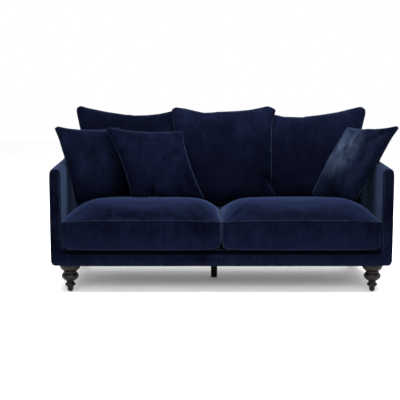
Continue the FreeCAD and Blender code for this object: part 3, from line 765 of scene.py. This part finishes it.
# ---- tight upholstery: arms, back and front border ----
def skinned(name, slabs, voxel, soften):
    """One even, softened skin round closed slabs, each a row of YZ outlines with their X places."""
    verts, faces = [], []
    for sections in slabs:
        start, count = len(verts), len(sections[0][1])
        verts += [(x, y, z) for x, outline in sections for y, z in outline]
        last = start + (len(sections) - 1) * count
        faces += [tuple(start + i for i in range(count))[::-1], tuple(last + i for i in range(count))]
        for a in range(start, last, count):
            for i in range(count):
                j = (i + 1) % count
                faces.append((a + i, a + j, a + count + j, a + count + i))
    obj = make_object(name, verts, faces, VELVET_FRAME)
    recalc(obj)
    remesh = obj.modifiers.new("remesh", "REMESH")
    remesh.mode = "VOXEL"
    remesh.voxel_size = voxel
    remesh.use_smooth_shade = True
    ease = obj.modifiers.new("ease", "SMOOTH")
    ease.factor = 0.5
    ease.iterations = soften
    apply_modifiers(obj)
    return obj


def rounded(outline, radius):
    """Rounds an outline's sharp corners."""
    steps, nearly_straight = 5, -0.94
    out = []
    count = len(outline)
    for i in range(count):
        a, b, c = (np.array(outline[(i + k) % count]) for k in (-1, 0, 1))
        to_a, to_c = a - b, c - b
        la, lc = np.linalg.norm(to_a), np.linalg.norm(to_c)
        if to_a.dot(to_c) / la / lc < nearly_straight:
            out.append(tuple(b))
            continue
        r = min(radius, la * 0.45, lc * 0.45)
        p, q = b + to_a / la * r, b + to_c / lc * r
        for k in range(steps + 1):
            t = k / steps
            out.append(tuple(p * (1 - t) ** 2 + 2 * b * t * (1 - t) + q * t**2))
    return out


def arm_outline(inset):
    """The arm's side outline at an inset from its surface, top first; its top edge is the rounder one."""
    ys = np.linspace(FRONT_Y + inset, ARM_REAR_Y + ARM_TUCK - inset, 26)
    top = [(y, float(arm_top(y)) - 1.45 * inset) for y in ys]
    floor_bounce_z, rear_y = BASE_Z + 0.001 + inset, back_front_y(BASE_Z) + ARM_TUCK - inset
    return top + [(rear_y, floor_bounce_z), (FRONT_Y + inset, floor_bounce_z)]


def resample(line, step, closed):
    """Evenly spaced points along a line."""
    pts = np.array(line + (line[:1] if closed else []), float)
    reach = np.concatenate([[0], np.cumsum(np.linalg.norm(np.diff(pts, axis=0), axis=1))])
    count = max(3, int(reach[-1] / step))
    at = np.linspace(0, reach[-1], count + 1)
    out = np.stack([np.interp(at, reach, pts[:, k]) for k in range(3)], 1)
    return out[:-1] if closed else out


def seam_on(obj, name, line, radius, closed=True):
    """A seam laid on the surface of an upholstered piece, along the nearest points to a line."""
    bpy.context.view_layer.update()
    laid = []
    for point in resample(line, step=0.012, closed=closed):
        hit, place, normal, _ = obj.closest_point_on_mesh(Vector(point))
        laid.append(np.array(place) + np.array(normal) * radius * 0.3 if hit else point)
    seam = tube(name, laid, radius, VELVET_SEAM_HIGHLIT, closed)
    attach(seam, "sofa_frame")


def upholstered(obj, *nodes):
    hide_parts(*nodes)
    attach(obj, "sofa_frame")


def quarter_inset(radius, dx):
    """How far a rounded edge stands in at a distance dx from the face it starts on."""
    return radius - math.sqrt(radius**2 - (radius - dx) ** 2)


def arm_slab(side):
    """One arm as a row of outlines from its outer to its inner face, both with rounded edges."""
    r, proud = 0.023, 0.0015
    outer = [(ARM_OUTER_X + proud - k * r, quarter_inset(r, k * r)) for k in (0.0, 0.08, 0.3, 0.6, 1.0)]
    inner = [(ARM_INNER_X - 0.001 + k * r, 0.8 * quarter_inset(r, k * r)) for k in (0.75, 0.4, 0.12, 0.0)]
    return [(side * x, arm_outline(inset - proud)) for x, inset in outer + inner]


def make_arms_and_border():
    """Both arms and the padded border under the cushions, covered as one."""
    y, back_y = FRONT_Y - 0.001, FRONT_Y + 0.093
    border = [(y, BASE_Z), (y, 0.214), (y + 0.022, 0.2322), (back_y, 0.2325), (back_y, BASE_Z)]
    slabs = [arm_slab(-1), arm_slab(1), [(side * (ARM_INNER_X + 0.02), border) for side in (-1, 1)]]
    obj = skinned("arms_and_border", slabs, 0.0065, 10)
    p = points_of(obj)
    ax = np.abs(p[:, 0])
    on_arm = ax > ARM_INNER_X - 0.001
    round_y = 1 - np.abs((p[:, 1] + 0.08) / 0.39).clip(0, 1) ** 4
    round_z = 1 - np.abs((p[:, 2] - 0.42) / 0.28).clip(0, 1) ** 4
    outer_half = ax > (ARM_INNER_X + ARM_OUTER_X) / 2
    p[:, 0] += np.sign(p[:, 0]) * 0.0075 * round_y**0.5 * round_z**0.5 * on_arm * outer_half
    flush_x = ARM_INNER_X - 0.0005
    inside = on_arm & (p[:, 2] > 0.235) & (ax < flush_x)
    p[inside, 0] = np.sign(p[inside, 0]) * flush_x
    on_border = (ax < ARM_INNER_X - 0.02) & (p[:, 1] < FRONT_Y + 0.03)
    wave = 0.0012 * np.sin(p[:, 0] * 8.0) + 0.0008 * np.sin(p[:, 0] * 21.0 + 1.0)
    groove = 0.0030 * np.exp(-((p[:, 0] / 0.006) ** 2))
    belly = 0.0035 * np.sin(((p[:, 2] - BASE_Z) / 0.075).clip(0, 1) * math.pi)
    p[:, 1] -= on_border * (belly + wave - groove)
    set_points(obj, p)
    pieces = ("cover", "outer_panel", "foam")
    nodes = [f"{side}_arm_{piece}" for side in ("left", "right") for piece in pieces]
    upholstered(obj, *nodes, "front_border_cover", "front_border_foam")
    for side, name in ((-1, "left_arm"), (1, "right_arm")):
        outer_x, inner_x = side * (ARM_OUTER_X - 0.008), side * (ARM_INNER_X + 0.006)
        outer = [(outer_x, y, z) for y, z in rounded(arm_outline(0.008), 0.020) if y < 0.225]
        inner = [(inner_x, FRONT_Y + 0.004, z) for z in (0.245, 0.45, 0.655)]
        inner += [(inner_x, y, z) for y, z in arm_outline(0.004)[:24]]
        seam_on(obj, f"{name}_outer_seam", outer, 0.0017, closed=False)
        seam_on(obj, f"{name}_inner_seam", inner, 0.0015, closed=False)
    centre = [(0.0, FRONT_Y - 0.004, z) for z in (BASE_Z + 0.010, 0.19, 0.222)]
    low = [(x, FRONT_Y + 0.006, BASE_Z - 0.004) for x in (-ARM_INNER_X + 0.01, 0.0, ARM_INNER_X - 0.01)]
    seam_on(obj, "front_border_centre_seam", centre, 0.0012, closed=False)
    seam_on(obj, "front_border_low_seam", low, 0.0016, closed=False)


def make_back():
    """The back's tight cover, inside and out, with the outside panel's sewn outline."""
    z0, z1 = BASE_Z + 0.001, BACK_TOP_Z + 0.001
    outline = [(back_front_y(z0) + 0.001, z0), (back_rear_y(z0), z0), (back_rear_y(z1), z1),
               (back_front_y(z1) + 0.001, z1)]
    obj = skinned("back_upholstery", [[(x, outline) for x in (-ARM_OUTER_X, ARM_OUTER_X)]], 0.010, 9)
    p = points_of(obj)
    u = (p[:, 0] / ARM_OUTER_X).clip(-1, 1)
    w = ((p[:, 2] - z0) / (z1 - z0) * 2 - 1).clip(-1, 1)
    rear = p[:, 1] > (back_front_y(p[:, 2]) + back_rear_y(p[:, 2])) / 2
    p[:, 1] += rear * 0.0045 * (1 - u**4) * (1 - w**4)
    set_points(obj, p)
    upholstered(obj, "inside_back_cover", "outside_back_panel", "back_foam")
    half, floor_bounce_z, high_z = ARM_OUTER_X - 0.028, z0 + 0.020, z1 - 0.026
    ring = rounded([(-half, floor_bounce_z), (half, floor_bounce_z), (half, high_z), (-half, high_z)], 0.03)
    seam_on(obj, "back_panel_seam", [(x, 0.46, z) for x, z in ring], 0.0020)


make_arms_and_border()
make_back()
run_cloth()
for piece in pillows + cushions:
    piece.finish()


# ---- studio ----
def studio():
    """A pale floor and backdrop, and large soft lights in front, behind and above."""
    floor_mat = mottled("studio_floor", (0.88, 0.88, 0.88), (0.92, 0.92, 0.92), 1.3, (0.7, 0.8),
                        grain=0.00005)
    shader = floor_mat.node_tree.nodes["Principled BSDF"]
    shader.inputs["Emission Color"].default_value = (1.0, 1.0, 1.0, 1.0)
    shader.inputs["Emission Strength"].default_value = 0.08
    corners = [(-14, -12, 0), (14, -12, 0), (14, 14, 0), (-14, 14, 0)]
    floor = make_object("studio_floor", corners, [(0, 1, 2, 3)], floor_mat, smooth=False)
    floor.location.z = -0.0002
    world = bpy.data.worlds.new("studio")
    scene.world = world
    world.use_nodes = True
    background = world.node_tree.nodes["Background"]
    background.inputs["Color"].default_value = (1.0, 1.0, 1.0, 1.0)
    background.inputs["Strength"].default_value = 1.0
    soft_light("front", (-0.3, -4.2, 2.3), (0.0, -0.3, 0.15), 5.0, 2.0, 180.0)
    soft_light("rear", (0.3, 4.4, 2.4), (0.0, 0.4, 0.3), 5.0, 2.0, 150.0)
    soft_light("top", (0.1, -0.5, 3.6), (0.0, 0.0, 0.4), 4.5, 2.0, 400.0)


def soft_light(name, place, aim, wide, deep, power):
    light = bpy.data.lights.new(name, "AREA")
    light.shape = "RECTANGLE"
    light.size, light.size_y = wide, deep
    light.energy = power
    obj = bpy.data.objects.new(name, light)
    obj.location = place
    obj.rotation_euler = (Vector(aim) - Vector(place)).to_track_quat("-Z", "Y").to_euler()
    scene.collection.objects.link(obj)


def camera():
    cam = bpy.data.cameras.new("camera")
    cam.sensor_width = 36.0
    cam.lens = 84.33
    obj = bpy.data.objects.new("camera", cam)
    obj.location = (-0.117, -5.45, 1.13)
    obj.rotation_euler = (math.radians(83.0), 0.0, 0.0)
    scene.collection.objects.link(obj)
    scene.camera = obj


studio()
camera()
scene.view_settings.view_transform = "Standard"
